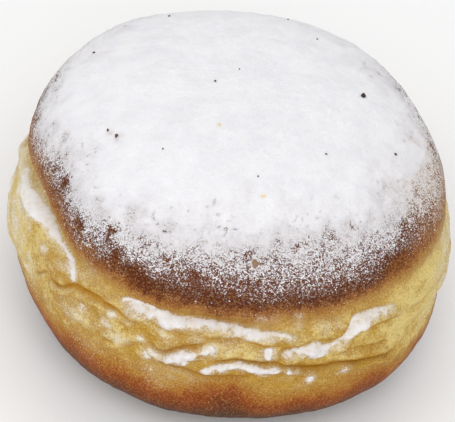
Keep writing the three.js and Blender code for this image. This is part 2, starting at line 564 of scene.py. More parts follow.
@dataclass
class Dough:
    """The fried dough: browned cap, folded belt and browned bottom in one skin."""

    form: Form
    columns: int = 640
    # Heights of the cap's lower edge and of the belt's lower edge.
    cap_edge: Route = Route((
        (-200, 15.4), (-176, 16.2), (-166, 17.6), (-154, 18.4), (-144, 17.6), (-134, 15.9), (-119, 15.9),
        (-109, 15.7), (-98, 16.2), (-86, 15.2), (-76, 16.0), (-64, 15.8), (-50, 16.1), (-40, 16.4),
        (-30, 16.6), (-16, 16.2), (0, 15.6), (24, 16.5), (52, 15.7), (80, 16.6), (112, 15.8), (140, 16.7),
        (160, 15.4),
    ), easing=4.0)
    foot: Route = Route((
        (-200, -1.0), (-160, -2.4), (-144, -2.2), (-132, -2.2), (-118, -1.4), (-104, -2.0), (-94, -0.4),
        (-86, 0.9), (-78, -1.5), (-56, -3.1), (-38, -2.9), (-14, -2.8), (16, -1.0), (48, -2.4), (84, -0.8),
        (118, -2.2), (160, -1.0),
    ), easing=4.0)
    # How fully the cap's edge is browned, and how wrinkled the belt is, from 0 to 1.
    toast: Route = Route((
        (-200, 0.6), (-170, 0.34), (-150, 0.45), (-136, 0.42), (-124, 0.58), (-114, 0.85), (-104, 1.0),
        (-58, 1.0), (-44, 0.52), (-32, 0.24), (-22, 0.12), (-6, 0.08), (24, 0.6), (60, 0.95), (110, 0.8),
        (160, 0.6),
    ), easing=6.0)
    rumple: Route = Route((
        (-200, 0.5), (-165, 0.3), (-142, 0.5), (-120, 1.0), (-62, 1.0), (-42, 0.45), (-16, 0.2), (12, 0.6),
        (50, 0.9), (100, 0.75), (130, 1.0), (160, 0.5),
    ), easing=6.0)
    late_browning: float = 2.2
    full_browning: float = 4.5
    # Strength of the painted shade in the rumples' hollows and the painted light on their bumps.
    painted_relief_shading: float = 1.1
    # How golden the belt is, all over and at its foot.
    warmth: Route = Route((
        (-200, 0.4), (-165, 0.1), (-150, 0.33), (-138, 0.7), (-126, 0.65), (-115, 0.62), (-108, 0.6),
        (-98, 0.85), (-86, 0.62), (-76, 0.62), (-63, 0.6), (-48, 0.42), (-38, 0.12), (-28, 0.0), (-14, 0.2),
        (20, 0.6), (60, 0.3), (110, 0.6), (160, 0.4),
    ), easing=4.0)
    low_gold: Route = Route((
        (-200, 0.3), (-150, 0.1), (-112, 0.1), (-100, 0.55), (-90, 0.8), (-62, 0.65), (-46, 0.35),
        (-34, 0.5), (-20, 0.0), (30, 0.6), (80, 0.3), (130, 0.7), (160, 0.3),
    ), easing=5.0)
    # The side that bulges, and the tuck under the cap's edge. Their radii are in degrees.
    swell: Spot = Spot(-170, 5.5, 21, 2.8)
    swell_rise: float = 8.5
    tuck_depth: float = 0.8
    tuck_drop: float = 2.2
    tuck_width: float = 1.7
    deep_tuck: Spot = Spot(-157, 0, 25, 2.4)
    belt_start: tuple[float, float] = (-3.0, 2.0)
    belt_end: tuple[float, float] = (14.0, 17.0)
    straying: Texture = Texture(((0.35, 3, 7.0), (0.15, 4, 2.6)))
    fold_change: Texture = Texture(((0.35, 9, 5.0),))
    waves: Texture = Texture(((0.3, 11, 13.0),))
    crust_lumps: Texture = Texture(((0.12, 31, 3.2), (0.07, 32, 1.5)))
    warp: Texture = Texture(((1.6, 13, 6.0),))
    rolls_and_pads: Texture = Texture(((0.75, 14, (8.0, 8.0, 3.4)), (0.42, 15, (3.6, 3.6, 1.7))))
    fine_rumples: Texture = Texture(((0.1, 16, (1.6, 1.6, 0.9)),))
    ragged_edge: Texture = Texture(((0.5, 41, 6.0), (0.3, 42, 1.6), (0.5, 45, (1.1, 1.1, 7.0))))
    gold_clouds: Texture = Texture(((0.3, 46, (6.0, 6.0, 3.5)),))
    blotches: Texture = Texture(((1.5, 43, 8.0), (0.8, 44, 2.6)))
    origin: Array = field(default_factory=lambda: np.zeros(3))

    def folds(self) -> tuple[Fold, ...]:
        """The belt's creases. The stops of each are an azimuth and the crease's height there.

        Returns:
            The folds, those of the front first.
        """
        return (
            Fold(Route((
                (-117, 12.5), (-113, 13.5), (-107, 14.2), (-103, 13.8), (-99, 13.6), (-94, 13.9), (-90, 14.1),
                (-86, 13.6), (-82, 12.9), (-78, 12.5), (-74, 12.0), (-70, 11.2), (-66, 10.9),
            )), 0.5, 1.0, 0.8, dark=0.2, roll=0.3),
            Fold(Route((
                (-142, 6.8), (-139, 7.1), (-136, 7.6), (-133.5, 9.0), (-131.8, 10.2), (-129, 10.8),
                (-126, 11.1), (-120, 11.0), (-113, 10.9), (-111.4, 9.8), (-110.5, 8.6),
            ), easing=1.5), 0.75, 0.5, 0.75, 3.0, 1.0),
            Fold(Route(((-149, 3.9), (-146.5, 4.8), (-143.4, 6.8), (-141, 8.2))), 0.5, 0.3, 0.5, 2.0, 0.7),
            Fold(Route((
                (-109, 7.4), (-107.6, 6.4), (-105.8, 5.6), (-104, 5.4), (-102.3, 6.2), (-100.7, 7.3),
                (-97, 8.3), (-95, 8.6), (-93, 9.2), (-91, 9.6),
            ), easing=1.5), 0.7, 0.9, 0.7, 3.0, 0.7, 0.4),
            Fold(Route((
                (-105, 4.0), (-101, 3.0), (-97, 2.8), (-95.5, 2.2), (-93, 2.0), (-90, 2.2), (-87, 2.6),
                (-81, 2.7),
            )), 0.6, 0.4, 0.6, 3.0, 0.7),
            Fold(Route((
                (-92, 5.0), (-88, 6.4), (-86, 6.8), (-82, 6.4), (-76, 5.8), (-73, 5.2), (-70, 4.4),
                (-67.4, 3.8), (-65, 3.6), (-60.5, 3.9), (-56, 3.0), (-53, 2.4), (-50, 2.2), (-47, 1.6),
                (-41, 0.4),
            )), 1.1, 1.0, 0.65, 4.0, 1.0, 0.5),
            Fold(Route((
                (-77, 7.2), (-75, 7.6), (-73, 8.5), (-67, 9.4), (-65, 8.9), (-63.3, 8.3), (-61, 8.5),
                (-59, 9.1), (-57.5, 10.2), (-56.3, 11.8), (-54.5, 12.5), (-51, 12.7), (-45, 12.4),
                (-39.5, 11.6),
            ), easing=1.5), 0.45, 1.1, 0.85, dark=0.2, roll=0.3),
            Fold(Route((
                (-61.5, 6.6), (-58, 6.4), (-55, 5.8), (-49, 4.8), (-44, 3.6),
            )), 0.55, 0.4, 0.6, 3.0, 0.6),
            Fold(Route(((-40, 8.6), (-32, 7.4), (-22, 8.0))), 0.4, 0.4, 0.8, 4.0, 0.3),
            Fold(Route(((-26, 6.4), (-8, 8.4), (10, 10.6), (34, 11.4))), 0.7, 1.0, 0.8, roll=0.4),
            Fold(Route(((8, 4.4), (24, 3.4), (42, 3.8), (58, 2.4))), 1.1, 0.7, 0.7),
            Fold(Route(((42, 11.4), (60, 12.4), (84, 11.2), (106, 9.8))), 0.7, 1.1, 0.8, roll=0.4),
            Fold(Route(((62, 7.4), (74, 8.2), (88, 7.0))), 0.8, 0.6, 0.6, 4.0),
            Fold(Route(((70, 3.2), (88, 5.2), (104, 6.4), (118, 5.6))), 0.8, 0.8, 0.7),
            Fold(Route(((108, 10.6), (126, 9.6), (146, 10.4), (176, 11.6))), 0.7, 1.1, 0.8, roll=0.4),
            Fold(Route(((128, 5.4), (150, 6.4), (172, 5.8), (198, 3.8))), 0.8, 0.6, 0.7),
        )

    def settle(self) -> None:
        """Moves the origin so that the dough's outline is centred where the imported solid's is."""
        low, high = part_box(NODE)
        columns, rings = 240, 260
        azimuth, arc = SkinMap.grid(np.linspace(0, self.form.length(), rings), columns)
        points = self.skin(azimuth, arc).reshape(-1, 3)
        middle = (points.min(0) + points.max(0)) / 2
        target = np.array((low + high) / 2) / MM
        self.origin = np.array([target[0] - middle[0], target[1] - middle[1], 0.0])

    def waver(self, plain: Array) -> Array:
        """How far the folds stray up and down from their routes, in millimetres."""
        return self.straying.at(plain)

    def relief(self, azimuth: Array, arc: Array) -> Array:
        """How far the skin stands out from the plain form, in millimetres.

        Args:
            azimuth: degrees.
            arc: arc length along the half outline.

        Returns:
            Millimetres at each place.
        """
        _, height = self.form.profile(arc)
        plain = self.form.place(azimuth, arc)
        side = self.swell.strength * bell(turn(azimuth, self.swell.azimuth), self.swell.radius)
        side = side * bell(height - self.swell.height, self.swell_rise)
        tuck = self.deep_tuck.strength * bell(turn(azimuth, self.deep_tuck.azimuth), self.deep_tuck.radius)
        below_edge = height - self.cap_edge.value(azimuth) + self.tuck_drop
        total = side - (tuck + self.tuck_depth) * bell(below_edge, self.tuck_width)
        strayed = height + self.waver(plain)
        uneven = 1 + self.fold_change.at(plain)
        for fold in self.folds():
            total = total + uneven * fold.relief(azimuth, strayed)
        belt = ease(height, *self.belt_start) * (1 - ease(height, *self.belt_end))
        total = total + (1 + belt) * self.waves.at(plain)
        total = total + belt * self.rumple.value(azimuth) * self.rumples(plain)
        total = total + (1 - belt) * self.crust_lumps.at(plain)
        flat = self.form.flat_radius()
        return total * ease(arc, flat - 1, flat + 6)  # the flat spot stays flat

    def rumples(self, plain: Array) -> Array:
        """Small lumps and wrinkles of the soft belt, in millimetres.

        Args:
            plain: points of the plain form.

        Returns:
            Their height at each point.
        """
        warped = plain.copy()
        warped[..., 2] += self.warp.at(plain)
        return self.rolls_and_pads.pillowed(warped) + self.fine_rumples.at(plain)

    def sag(self, azimuth: Array, arc: Array) -> Array:
        """How far the skin hangs down from its place, in millimetres.

        Args:
            azimuth: degrees.
            arc: arc length along the half outline.

        Returns:
            Millimetres at each place.
        """
        _, height = self.form.profile(arc)
        strayed = height + self.waver(self.form.place(azimuth, arc))
        total = np.zeros(strayed.shape)
        for fold in self.folds():
            total = np.maximum(total, fold.sag(azimuth, strayed))
        return total

    def skin(self, azimuth: Array, arc: Array, extra: float | Array = 0.0) -> Array:
        """Points of the dough's skin.

        Args:
            azimuth: degrees.
            arc: arc length along the half outline.
            extra: millimetres above the skin.

        Returns:
            Array of shape (..., 3), in millimetres.
        """
        relief = self.relief(azimuth, arc) + extra
        points = self.form.place(azimuth, arc - self.sag(azimuth, arc), relief) + self.origin
        points[..., 2] = np.maximum(points[..., 2], 0)
        return points

    def arcs(self) -> Array:
        """Arc lengths of the mesh's rings, closest together on the belt.

        Returns:
            The lengths, in rising order.
        """
        form = self.form
        flat, foot = form.flat_radius(), form.arc_at(-2.0)
        edge, dusted = form.arc_at(18.2), form.arc_at(26.0)
        stretches = ((3.0, flat, 5), (flat, foot, 31), (foot, edge, 79), (edge, dusted, 23))
        rings = [np.linspace(low, high, count, endpoint=False) for low, high, count in stretches]
        return np.concatenate([*rings, np.linspace(dusted, form.length() - 1.0, 16)])

    def build(self, sugar: "Sugar") -> Piece:
        """Builds the skin, with the values that its finish reads.

        Args:
            sugar: the sugar that lies on the dough.

        Returns:
            The linked object.
        """
        arcs = self.arcs()
        azimuth, arc = SkinMap.grid(arcs, self.columns)
        points = self.skin(azimuth, arc)
        ends = np.array([self.skin(np.zeros(1), np.array([a]))[0] for a in (0.0, self.form.length())])
        points = np.concatenate([points.reshape(-1, 3), ends])
        faces = ring_faces(len(arcs), self.columns).tolist()
        last = (len(arcs) - 1) * self.columns
        bottom, top = len(points) - 2, len(points) - 1
        for column in range(self.columns):
            after = (column + 1) % self.columns
            faces.append([after, column, bottom])
            faces.append([last + column, last + after, top])
        layers = self.layers(azimuth, arc)
        layers["dust"] = sugar.spread.values
        layers = {name: np.concatenate([v.ravel(), [v[0, 0], v[-1, 0]]]) for name, v in layers.items()}
        return add_object("dough", points, faces, layers)

    def layers(self, azimuth: Array, arc: Array) -> dict[str, Array]:
        """Values over the skin that its finish reads.

        Args:
            azimuth: degrees.
            arc: arc length along the half outline.

        Returns:
            How far each place is browned as cap and as foot, in millimetres past the edge of the belt,
            how golden the belt is, with painted shade in its hollows and painted light on its bumps,
            the painted shade of its creases and how much it hangs over.
        """
        _, height = self.form.profile(arc)
        plain = self.form.place(azimuth, arc)
        toast = self.toast.value(azimuth)
        above = arc - self.form.arc_at(self.cap_edge.value(azimuth)) + self.ragged_edge.at(plain)
        above = above - self.late_browning * (1 - toast)
        above = np.where(above > 0, np.minimum(above, self.full_browning) * toast, above)
        low = self.low_gold.value(azimuth) * (1 - ease(height, 2.0, 6.0))
        # golden where the rumples sink and paler where they rise: painted shade and painted light
        relief_shading = -self.painted_relief_shading * self.rumple.value(azimuth) * self.rumples(plain)
        golden = self.warmth.value(azimuth) + low + relief_shading + self.gold_clouds.at(plain)
        below = self.form.arc_at(self.foot.value(azimuth)) - arc + self.blotches.at(plain)
        return {
            "cap_side": np.clip(above, -8, 6),
            "foot_side": np.clip(below, -6, 12),
            "golden": np.clip(golden, 0, 1),
            # painted shade of the creases
            "crease": self.crease(azimuth, height, plain),
            # how far the skin hangs over; the finish paints shade with it
            "under": np.clip(self.overhang(azimuth, arc), -1.5, 1.5),
        }

    def crease(self, azimuth: Array, height: Array, plain: Array) -> Array:
        """Painted shade of the creases at each place, from 0 to 1."""
        strayed = height + self.waver(plain)
        return np.max([fold.painted_shade(azimuth, strayed) for fold in self.folds()], axis=0)

    def overhang(self, azimuth: Array, arc: Array) -> Array:
        """How the skin leans: above 0 where it hangs over, below 0 on a ledge."""
        step = 0.45
        return (self.relief(azimuth, arc + step) - self.relief(azimuth, arc - step)) / (2 * step)


@dataclass(frozen=True)
class Scatter:
    """Small bodies to be scattered where dust lies."""

    name: str
    count: int
    radius: tuple[float, float]  # smallest and largest, in millimetres
    band: tuple[float, float]  # lowest and highest height above the widest line
    most: float  # coverage above which few are laid
    seed: int


@dataclass
class Sugar:
    """Powdered sugar: the coat on the cap, the drifts on the belt's ledges, clumps and loose grains."""

    dough: Dough
    columns: int = 640
    drift_columns: int = 1240
    drift_row: float = 0.2
    thickness: float = 0.4
    coat_start: float = 17.0
    shoulder: float = 29.5
    coat_whole: tuple[float, float] = (0.35, 1.05)
    sunk: float = 0.03
    rooted: float = 0.1
    # The coverage on the cap: how it grows inward, strays past the edge, dips and is pitted.
    growth: tuple[float, float] = (0.06, 0.92)
    stray_share: float = 0.07
    dip: float = 0.08
    pit_depth: float = 0.4
    bare_depth: float = 0.7
    heap_share: float = 0.8
    clumping: float = 1.2
    # Stray sugar on the belt: in the drifts' seams, as haze on ledges, as haze and painted highlight on
    # bumps, and under overhangs.
    seam_share: float = 0.75
    haze_floor: float = 0.1
    bump_dust_and_highlight: float = 1.2
    sheltered: float = 0.6
    # The drifts' own coverage, which their thin places, small holes and the creases' painted shade lower.
    drift_share: float = 0.92
    thin_places: float = 0.14
    holes: float = 0.12
    creased: float = 0.5
    # Distance from the cap's edge to where sugar covers half of it, and how early it starts.
    half_line: Route = Route((
        (-200, 8.2, 0.6), (-189, 6.6, 0.6), (-178, 4.5, 0.6), (-167, 4.8, 0.7), (-152, 6.0, 0.6),
        (-138, 5.4, 0.9), (-128, 6.0, 0.9), (-118, 6.3, 0.6), (-108, 7.2, 0.5), (-98, 7.6, 0.5),
        (-88, 9.2, 0.5), (-78, 7.5, 1.0), (-68, 8.5, 1.0), (-58, 8.0, 1.0), (-48, 7.4, 1.0),
        (-38, 9.2, 0.6), (-28, 8.9, 0.5), (-18, 6.5, 1.2), (-5, 7.2, 1.5), (8, 7.8, 1.3), (24, 9.2, 0.8),
        (40, 8.8, 0.7), (60, 7.5, 0.6), (80, 7.5, 0.5), (120, 7.0, 0.5), (142, 8.2, 0.5), (160, 8.2, 0.6),
    ), easing=4.0)
    bare_spots: tuple[Spot, ...] = spots(
        (-162, 26.4, 1.1, 0.6), (-124, 23.4, 1.2, 0.6), (-124, 21.7, 1.0, 0.5), (-121, 26.5, 1.3, 0.55),
        (-144, 31.5, 0.9, 0.5), (-148, 23.6, 1.6, 0.5), (-170, 25.3, 1.5, 0.5), (-120, 20.1, 1.6, 0.45),
        (-114, 19.5, 1.2, 0.4), (-136, 21.2, 1.4, 0.4), (-134, 20.4, 1.2, 0.35), (-149, 31.2, 0.6, 0.4),
        (-76, 25.1, 1.4, 0.35), (-132, 25.8, 0.9, 0.35), (-23, 26.0, 1.6, 0.3), (-106, 22.5, 0.9, 0.35),
        (-98, 21.2, 1.4, 0.3), (-52, 27.4, 1.0, 0.3), (-84, 24.7, 0.9, 0.3), (-112, 17.8, 2.4, 0.3),
        (-42, 18.4, 2.6, 0.3), (-59, 27.0, 1.6, 0.3), (-118, 27.2, 1.5, 0.3), (-108.5, 27.0, 1.2, 0.25),
        (28, 21.0, 2.4, 0.3), (12, 25.0, 1.5, 0.35), (24, 27.4, 1.5, 0.3), (34, 25.6, 1.3, 0.35),
        (2, 23.6, 1.6, 0.35), (152, 26.6, 1.6, 0.35), (163, 24.4, 1.6, 0.35), (64, 24.0, 1.4, 0.4),
        (96, 20.4, 2.2, 0.35), (118, 25.0, 1.2, 0.4), (150, 20.0, 2.4, 0.35), (172, 26.0, 1.3, 0.4),
    )
    # How much stray sugar lies all over the belt.
    haze: Route = Route((
        (-200, 0.28), (-184, 0.55), (-170, 0.75), (-158, 0.55), (-148, 0.34), (-138, 0.2), (-128, 0.14),
        (-114, 0.13), (-105, 0.38), (-95, 0.16), (-86, 0.05), (-74, 0.12), (-66, 0.1), (-56, 0.05),
        (-46, 0.02), (-34, 0.02), (-24, 0.1), (-14, 0.22), (0, 0.26), (20, 0.18), (60, 0.18), (130, 0.15),
        (160, 0.24),
    ), easing=5.0)
    patches: tuple[Spot, ...] = spots(
        (-117.8, 9.9, 1.0, 0.75), (-113.3, 9.9, 1.1, 0.4), (-119.7, 7.1, 1.1, 0.6),
        (-115.8, 4.8, 1.2, 0.38), (-113.6, 5.4, 0.9, 0.25), (-109.6, 7.0, 0.9, 0.6),
        (-107.7, 4.0, 1.0, 0.8), (-105.5, 5.2, 1.2, 0.6), (-95.4, 10.3, 1.6, 0.25), (-126, -1.5, 3.5, 0.14),
        (-105, -1.2, 3.2, 0.12), (-92.6, 8.1, 1.4, 1.0), (-79.2, 7.8, 1.0, 0.5), (-77.6, 8.1, 1.3, 0.6),
        (-72.8, 3.7, 0.8, 0.8), (-71.0, 3.7, 0.7, 0.4), (-67.4, 1.6, 0.9, 0.9), (-58.3, 1.5, 1.0, 0.75),
        (-63.7, 11.3, 1.3, 0.28), (-60.0, 11.3, 1.0, 0.22), (-127.2, 7.2, 1.0, 0.6),
        (-128.0, 6.1, 3.6, 0.13), (-130.9, 4.2, 2.5, 0.15), (-162.5, 9.7, 4.0, 0.36),
        (-170.0, 5.0, 4.0, 0.25), (-156.5, 7.5, 2.0, 0.25), (-144.7, 11.6, 1.2, 0.45),
        (-146.3, 10.5, 1.0, 0.3), (-80.2, 14.2, 1.6, 0.3), (-77.0, 15.0, 1.2, 0.25),
        (-70.6, 14.6, 1.0, 0.35), (-70.4, 13.1, 0.9, 0.35), (-88.1, 10.0, 2.4, 0.15),
        (-128.0, 14.8, 2.6, 0.2), (-16.0, 12.0, 3.0, 0.25), (-20.0, 7.0, 5.0, 0.2), (30, 8.0, 2.4, 0.4),
        (74, 7.6, 3.0, 0.4), (128, 7.4, 2.6, 0.45), (166, 8.4, 2.8, 0.4), (4, 6.4, 2.0, 0.35),
        (60, 5.4, 0.9, 0.9), (112, 3.4, 0.8, 0.8), (20, 6.8, 0.8, 0.8), (146, 3.6, 0.9, 0.8),
    )
    heaps: tuple[Spot, ...] = spots(
        (-92.6, 8.1, 1.35, 0.6), (-107.7, 4.0, 1.0, 0.3), (-78.0, 8.0, 1.1, 0.3), (-72.8, 3.7, 0.7, 0.3),
        (-67.4, 1.6, 0.9, 0.4), (-58.3, 1.5, 0.8, 0.25), (-66.2, 7.4, 1.8, 0.45), (-98.8, 5.6, 1.7, 0.35),
        (-54.4, 11.4, 1.5, 0.4), (60, 5.4, 0.9, 0.4), (112, 3.4, 0.8, 0.3), (20, 6.8, 0.8, 0.3),
        (146, 3.6, 0.9, 0.3),
    )
    patchy: Texture = Texture(((0.2, 51, 5.0), (0.16, 52, 2.2)))
    cap_clumps: Texture = Texture(((0.4, 53, 1.5), (0.3, 54, 0.8)))
    belt_clumps: Texture = Texture(((0.5, 63, 1.6), (0.5, 64, 0.8)))
    spot_edges: Texture = Texture(((0.8, 55, 1.3),))
    haze_clouds: Texture = Texture(((0.6, 62, 5.0),))
    heap_lumps: Texture = Texture(((0.6, 87, 0.9),))
    fray: Texture = Texture(((0.5, 88, 3.6), (0.7, 61, 1.7), (0.5, 81, 0.8)))
    coat_lumps: Texture = Texture(((0.08, 71, 6.0), (0.08, 72, 2.4)))
    coat_grain: Texture = Texture(((0.055, 73, 1.1), (0.025, 74, 0.6)))
    coat_tears: Texture = Texture(((0.22, 75, 1.9), (0.1, 76, 1.0)))
    drift_lumps: Texture = Texture(((0.16, 82, 1.6), (0.1, 83, 0.8), (0.04, 84, 0.45)))
    clumps: Scatter = Scatter("sugar_clumps", 600, (0.05, 0.14), (15.0, 29.0), 0.75, 5)
    cap_grains: Scatter = Scatter("cap_grains", 22000, (0.04, 0.09), (15.5, 30.0), 0.85, 7)
    belt_grains: Scatter = Scatter("belt_grains", 14000, (0.04, 0.095), (-3.0, 15.5), 0.85, 8)
    spread: SkinMap | None = None

    def drifts(self) -> tuple[Drift, ...]:
        """The drifts on the belt, from the left end of the front round to the back.

        Returns:
            The drifts, each with stops of an azimuth, its upper edge and its lower edge.
        """
        return (
            Drift(Route((
                (-178, 12.9, 12.5), (-174, 13.3, 12.6), (-170, 13.5, 12.5), (-166, 14.0, 12.2),
                (-162, 14.7, 12.1), (-158, 15.1, 12.3), (-154, 15.4, 13.0), (-150, 15.4, 13.8),
                (-146, 15.1, 13.8), (-142, 14.6, 13.7), (-137.5, 14.0, 13.2), (-135, 13.4, 12.5),
                (-133, 12.7, 11.5), (-131, 11.9, 11.0), (-129, 11.3, 11.2),
            ), easing=1.0), 0.42, 0.45, 0.8, ragged=0.45),
            Drift(Route((
                (-118, 12.9, 12.3), (-115, 13.9, 12.2), (-112, 14.5, 12.1), (-108, 14.6, 12.1),
                (-105.6, 14.3, 11.9), (-104.4, 14.0, 10.9), (-102.5, 13.6, 11.1), (-101, 13.5, 11.6),
                (-98, 13.5, 11.5), (-95, 13.7, 11.8), (-92, 13.7, 12.0), (-88, 13.4, 12.0),
                (-86, 13.1, 11.8), (-84, 12.8, 11.2), (-82, 12.5, 11.0), (-79, 12.2, 11.1),
                (-74, 11.8, 10.9), (-72, 11.2, 10.7), (-69.6, 10.9, 10.6),
            ), easing=0.8), 0.4),
            Drift(Route((
                (-104.6, 4.8, 4.3), (-103, 5.3, 4.4), (-101.5, 6.2, 4.1), (-100.2, 6.9, 3.9),
                (-98.8, 7.2, 4.1), (-97.7, 7.1, 4.4), (-96, 7.6, 5.4), (-95, 7.9, 6.0), (-94, 7.6, 6.8),
            ), easing=0.8), 0.3, 0.5, 1.0),
            Drift(Route((
                (-95.8, 3.2, 2.8), (-94.6, 3.6, 2.6), (-93.2, 4.0, 2.5), (-92, 4.4, 3.0), (-90, 5.2, 3.8),
                (-88, 5.9, 4.3), (-86, 6.2, 4.7), (-84, 6.1, 4.7), (-82, 5.6, 4.3), (-80, 5.2, 3.4),
                (-76, 5.0, 3.1), (-74.2, 4.8, 3.3),
            ), easing=0.8), 0.36, 0.35, 1.0),
            Drift(Route((
                (-76.4, 7.3, 7.0), (-74, 8.0, 7.1), (-72, 8.6, 7.3), (-68.6, 8.9, 7.1), (-67, 9.1, 5.8),
                (-65.4, 8.8, 5.9), (-64, 8.3, 6.7), (-62, 8.2, 7.1), (-60, 8.6, 7.6), (-58.6, 9.3, 8.2),
                (-57.6, 10.4, 8.7), (-56.8, 12.3, 9.0), (-55, 12.8, 9.3), (-54, 12.9, 9.8), (-53, 12.8, 10.7),
                (-51, 12.7, 11.2), (-46, 12.3, 11.6), (-43.8, 11.9, 11.5), (-41.6, 11.5, 11.3),
            ), easing=0.8), 0.42, 0.35, 0.9),
            Drift(Route((
                (-8, 7.8, 7.5), (4, 9.8, 8.6), (10, 10.5, 9.0), (18, 11.4, 9.8), (26, 11.1, 10.3),
                (32, 11.2, 10.9),
            )), 0.35),
            Drift(Route((
                (46, 11.2, 10.8), (56, 12.2, 11.0), (64, 12.7, 11.0), (72, 12.3, 10.5), (82, 11.5, 10.3),
                (96, 10.0, 9.7),
            )), 0.4),
            Drift(Route(((78, 3.6, 3.3), (90, 5.2, 4.0), (100, 6.2, 4.8), (112, 5.5, 5.2))), 0.32),
            Drift(Route((
                (114, 9.8, 9.5), (126, 9.6, 8.4), (134, 10.4, 8.3), (142, 10.6, 8.6), (156, 10.7, 9.7),
                (170, 11.1, 10.8),
            )), 0.4),
            Drift(Route(((140, 5.4, 5.1), (154, 6.1, 5.1), (168, 6.0, 4.9), (180, 4.5, 4.2))), 0.32),
        )

    def coverage(self, azimuth: Array, arc: Array) -> Array:
        """Share of the cap that sugar covers, from 0 at its bare edge to 1 where the coat is whole.

        Args:
            azimuth: degrees.
            arc: arc length along the half outline.

        Returns:
            The share at each place.
        """
        form = self.dough.form
        plain = form.place(azimuth, arc)
        inward = arc - form.arc_at(self.dough.cap_edge.value(azimuth))
        ratio = np.maximum(inward, 0) / (2 * self.half_line.value(azimuth)) * (1 + self.patchy.at(plain))
        early = self.half_line.value(azimuth, 2)
        share = (1 - early) * ease(ratio, *self.growth) + early * np.minimum(ratio, 1)
        stray = self.stray_share * self.dough.toast.value(azimuth) * ease(inward, -1.2, 0.4)
        share = np.maximum(share, stray) - self.dip * bell(ratio - 0.98, 0.28)
        pits = ease(Lumps(56).at(plain, 0.9), 0.45, 0.85)
        share = share - self.pit_depth * pits * ease(share, 0.4, 0.8) * (1 - ease(ratio, 0.95, 1.4))
        ragged = 1 + self.spot_edges.at(plain)
        for spot in self.bare_spots:
            share = share - self.bare_depth * ragged * spot.near(form, azimuth, arc)
        for heap in self.heaps:
            share = share + (share > 0) * self.heap_share * heap.near(form, azimuth, arc) / heap.strength
        share = np.clip(share, 0, 1)
        return np.clip(share + self.clumping * share * (1 - share) * self.cap_clumps.at(plain), 0, 1)

    def belt_dust(self, azimuth: Array, arc: Array) -> Array:
        """Share of the belt and foot that stray sugar covers.

        Args:
            azimuth: degrees.
            arc: arc length along the half outline.

        Returns:
            The share at each place.
        """
        form = self.dough.form
        _, height = form.profile(arc)
        plain = form.place(azimuth, arc)
        share = np.zeros(height.shape)
        for patch in self.patches:
            share = np.maximum(share, patch.near(form, azimuth, arc))
        fray = self.fray.at(plain)
        for drift in self.drifts():
            seam = ease(drift.inside(azimuth, height, fray), -0.8, 1.0)
            share = np.maximum(share, self.seam_share * seam)
        share = np.clip(share * (1 + self.belt_clumps.at(plain)), 0, 1)
        lean = self.dough.overhang(azimuth, arc)
        # bumps paler: sugar haze and painted highlight
        dust_and_highlight = self.bump_dust_and_highlight * ease(self.dough.rumples(plain), -0.1, 0.5)
        ledges = ease(-lean, 0.1, 0.8)
        haze = self.haze_floor + dust_and_highlight + self.haze_clouds.at(plain) + ledges
        haze = self.haze.value(azimuth) * haze
        haze = np.maximum(haze, 0) * ease(height, -5, 5) * (1 - 0.8 * ease(height, 11, 14))
        # the creases' painted shade also clears the dust there
        painted_shade = self.dough.crease(azimuth, height, plain)
        open_to_sky = 1 - self.sheltered * ease(lean, 0.2, 0.9)
        return np.clip(share + haze, 0, 1) * open_to_sky * (1 - painted_shade) ** 2

    def dust(self, azimuth: Array, arc: Array) -> Array:
        """Share of the skin that sugar covers, all over the bun."""
        return np.maximum(self.coverage(azimuth, arc), self.belt_dust(azimuth, arc))

    def settle(self) -> None:
        """Works out the dust at every point of the dough's mesh."""
        arcs = self.dough.arcs()
        self.spread = SkinMap(arcs, self.dust(*SkinMap.grid(arcs, self.dough.columns)))

    def depth(self, azimuth: Array, arc: Array) -> Array:
        """Thickness of the cap's coat, negative where there is none, in millimetres.

        Args:
            azimuth: degrees.
            arc: arc length along the half outline.

        Returns:
            Millimetres at each place.
        """
        plain = self.dough.form.place(azimuth, arc)
        whole = ease(self.coverage(azimuth, arc), *self.coat_whole)
        grainy = (0.3 + 0.7 * whole) * self.coat_grain.at(plain)
        torn = bell(whole - 0.6, 0.24) * self.coat_tears.at(plain)
        depth = (self.thickness + self.coat_lumps.at(plain)) * whole + grainy + torn - self.sunk
        for heap in self.heaps:
            depth = depth + whole * heap.dome(self.dough.form, azimuth, arc)
        return depth

    def build_coat(self) -> Piece:
        """Builds the coat on the cap as a shell whose edge sinks into the crust.

        Returns:
            The linked object.
        """
        form = self.dough.form
        side_rings, top_rings = 59, 90
        start, shoulder = form.arc_at(self.coat_start), form.arc_at(self.shoulder)
        arcs = np.concatenate([
            np.linspace(start, shoulder, side_rings, endpoint=False),
            np.linspace(shoulder, form.length() - 0.5, top_rings),
        ])
        azimuth, arc = SkinMap.grid(arcs, self.columns)
        depth = self.depth(azimuth, arc)
        points = self.dough.skin(azimuth, arc, np.maximum(depth, -self.rooted))
        top = self.dough.skin(np.zeros(1), np.array([form.length()]), self.thickness)
        layers = self.dough.layers(azimuth, arc)
        layers["dust"] = self.coverage(azimuth, arc)
        return add_shell("sugar_coat", points, depth, layers, top)

